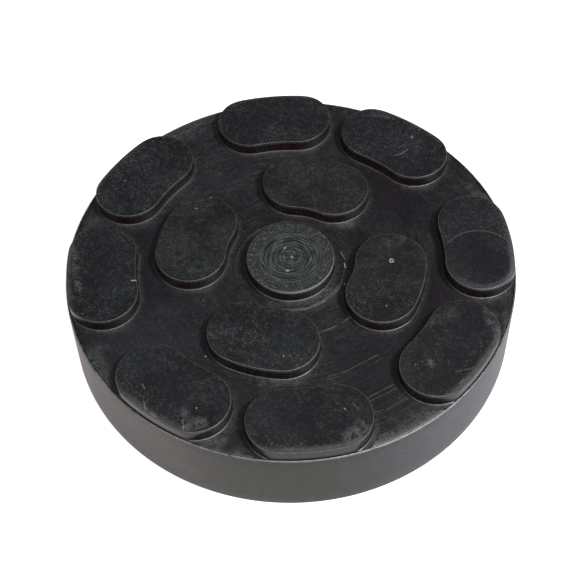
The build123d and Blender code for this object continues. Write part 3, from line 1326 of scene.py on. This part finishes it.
foot_bent = shader.step(boss_distance, 1.1, 0.5) * shader.step(above_floor, 1.0, 0.5) * on_floor
glossy_corner = foot_bent * (1.6 * front_share - 1.2)
dullness = 0.38 + 0.10 * cloud + 0.20 * bloom_and_sheen + 0.10 * haze_and_sheen
dullness = dullness + 0.20 * crown_zone + 0.08 * on_centre
dullness = dullness + 0.10 * grain_share * (1 - on_side)
dullness = dullness - 0.10 * glossy_corner - 0.16 * on_wall
roughness = shader.least(dullness, dullest)

surface = shader.node(
    "ShaderNodeBsdfPrincipled",
    None,
    {"Base Color": colour, "Roughness": roughness, "IOR": rubber_ior, "Normal": bumped},
)
shader.node("ShaderNodeOutputMaterial", None, {"Surface": surface})
skin.materials.clear()
skin.materials.append(rubber)
print("rubber nodes:", len(shader.tree.nodes))

# %% [markdown]
# ## Table and light
#
# The pad stands on a white table in soft light. The table could be made white by
# more light, but that would bleach the rubber too. Instead its own material shows a
# little extra white to the camera and to reflections, and under that it is a plain
# pale surface that takes the pad's shadow. What the side of the pad reflects of it
# is dimmer at the front, and a little warmer at the left and bluer at the right. The
# amount goes into the colour of the glow, whose strength stays at one. From below
# the table is clear, so that the underside can be seen.

# %% Where the table lies
table_half_width = 3.0
table_bm = bmesh.new()
bmesh.ops.create_grid(table_bm, x_segments=1, y_segments=1, size=table_half_width)
table = as_piece(table_bm, "table")

table_paint = bpy.data.materials.new("table_white")
shader = Shader(table_paint)
camera_ray = shader.node("ShaderNodeLightPath", None, None, "Is Camera Ray")
glossy_ray = shader.node("ShaderNodeLightPath", None, None, "Is Glossy Ray")
table_place = shader.node("ShaderNodeTexCoord", None, None, "Object")
from_pad = shader.vector("LENGTH", table_place, output="Value")
table_direction = shader.scaled(table_place, 1 / shader.most(from_pad, pad_radius))
to_front = facing @ Vector((0, -1, 0))
to_right = facing @ Vector((1, 0, 0))
frontward = shader.vector("DOT_PRODUCT", table_direction, to_front, output="Value")
table_right = shader.vector("DOT_PRODUCT", table_direction, to_right, output="Value")

# %% [markdown]
# The glow has one share for the camera, which is a little dimmer near the pad and
# full half a metre from its axis, and one for reflections. The larger of the two is
# used. Only what is reflected has a tint: for the camera the glow is plain white.

# %% White of the table
white = (1.0, 1.0, 1.0)
table_pale = (0.36, 0.36, 0.36)
left_tone = (1.09, 0.94, 0.94)
front_tone = (1.00, 1.01, 0.90)
right_tone = (1.01, 1.01, 1.10)
glow_near = 0.80
glow_reflected = 0.67
front_shade = 0.30

in_front = shader.step(frontward, 0.72, 1.0)
camera_glow = camera_ray * (glow_near + shader.step(from_pad, 0.12, 0.5, 1 - glow_near))
glossy_glow = glossy_ray * (1 - in_front * front_shade) * glow_reflected
tone = shader.mix(shader.step(table_right, -0.55, -0.05), left_tone, front_tone)
tone = shader.mix(shader.step(table_right, 0.1, 0.5), tone, right_tone)
tone = shader.mix(camera_ray, tone, white)
shown = shader.scaled(tone, shader.most(camera_glow, glossy_glow))
plain = shader.node("ShaderNodeBsdfDiffuse", None, {"Color": table_pale})
glow = shader.node("ShaderNodeEmission", None, {"Color": shown, "Strength": 1.0})
lit = shader.node("ShaderNodeAddShader", None, {0: plain, 1: glow})
under = shader.node("ShaderNodeNewGeometry", None, None, "Backfacing")
clear = shader.node("ShaderNodeBsdfTransparent")
both = shader.node("ShaderNodeMixShader", None, {0: under, 1: lit, 2: clear})
shader.node("ShaderNodeOutputMaterial", None, {"Surface": both})
table.data.materials.append(table_paint)
print("table nodes:", len(shader.tree.nodes))

# %% [markdown]
# Three soft lamps light the pad: a key from the right and rather high, which leaves
# short shadows at the left of the bosses, a weaker one from above the camera, and a
# fill from the left. The room is dim for the rubber, and white where the camera
# looks past the table, which a Light Path node tells apart.

# %% World and lamps
world = bpy.data.worlds.new("room")
bpy.context.scene.world = world
shader = Shader(world)
room_light = 0.13
camera_ray = shader.node("ShaderNodeLightPath", None, None, "Is Camera Ray")
strength = room_light + camera_ray * (1 - room_light)
background = shader.node("ShaderNodeBackground", None, {"Color": white, "Strength": strength})
shader.node("ShaderNodeOutputWorld", None, {"Surface": background})


def softbox(name, azimuth, elevation, distance, width, height, watts):
    """An area lamp, aimed at the pad from an azimuth to the right of the camera."""
    data = bpy.data.lights.new(name, "AREA")
    data.shape = "RECTANGLE"
    data.size = width
    data.size_y = height
    data.energy = watts
    lamp = bpy.data.objects.new(name, data)
    bpy.context.scene.collection.objects.link(lamp)
    turn = camera_azimuth + radians(azimuth)
    up = radians(elevation)
    back = Vector((sin(turn) * cos(up), -cos(turn) * cos(up), sin(up)))
    lamp.location = back * distance
    lamp.rotation_mode = "QUATERNION"
    lamp.rotation_quaternion = (-back).to_track_quat("-Z", "Y")
    print(name, "lamp at", [round(v, 2) for v in lamp.location], "m")


softbox("right_key", azimuth=62, elevation=55, distance=1.2, width=0.24, height=0.20, watts=19)
softbox("front_top", azimuth=10, elevation=60, distance=1.2, width=0.30, height=0.24, watts=7)
softbox("left_fill", azimuth=-60, elevation=42, distance=1.3, width=0.40, height=0.32, watts=4.5)

bpy.context.scene.view_settings.view_transform = "Standard"
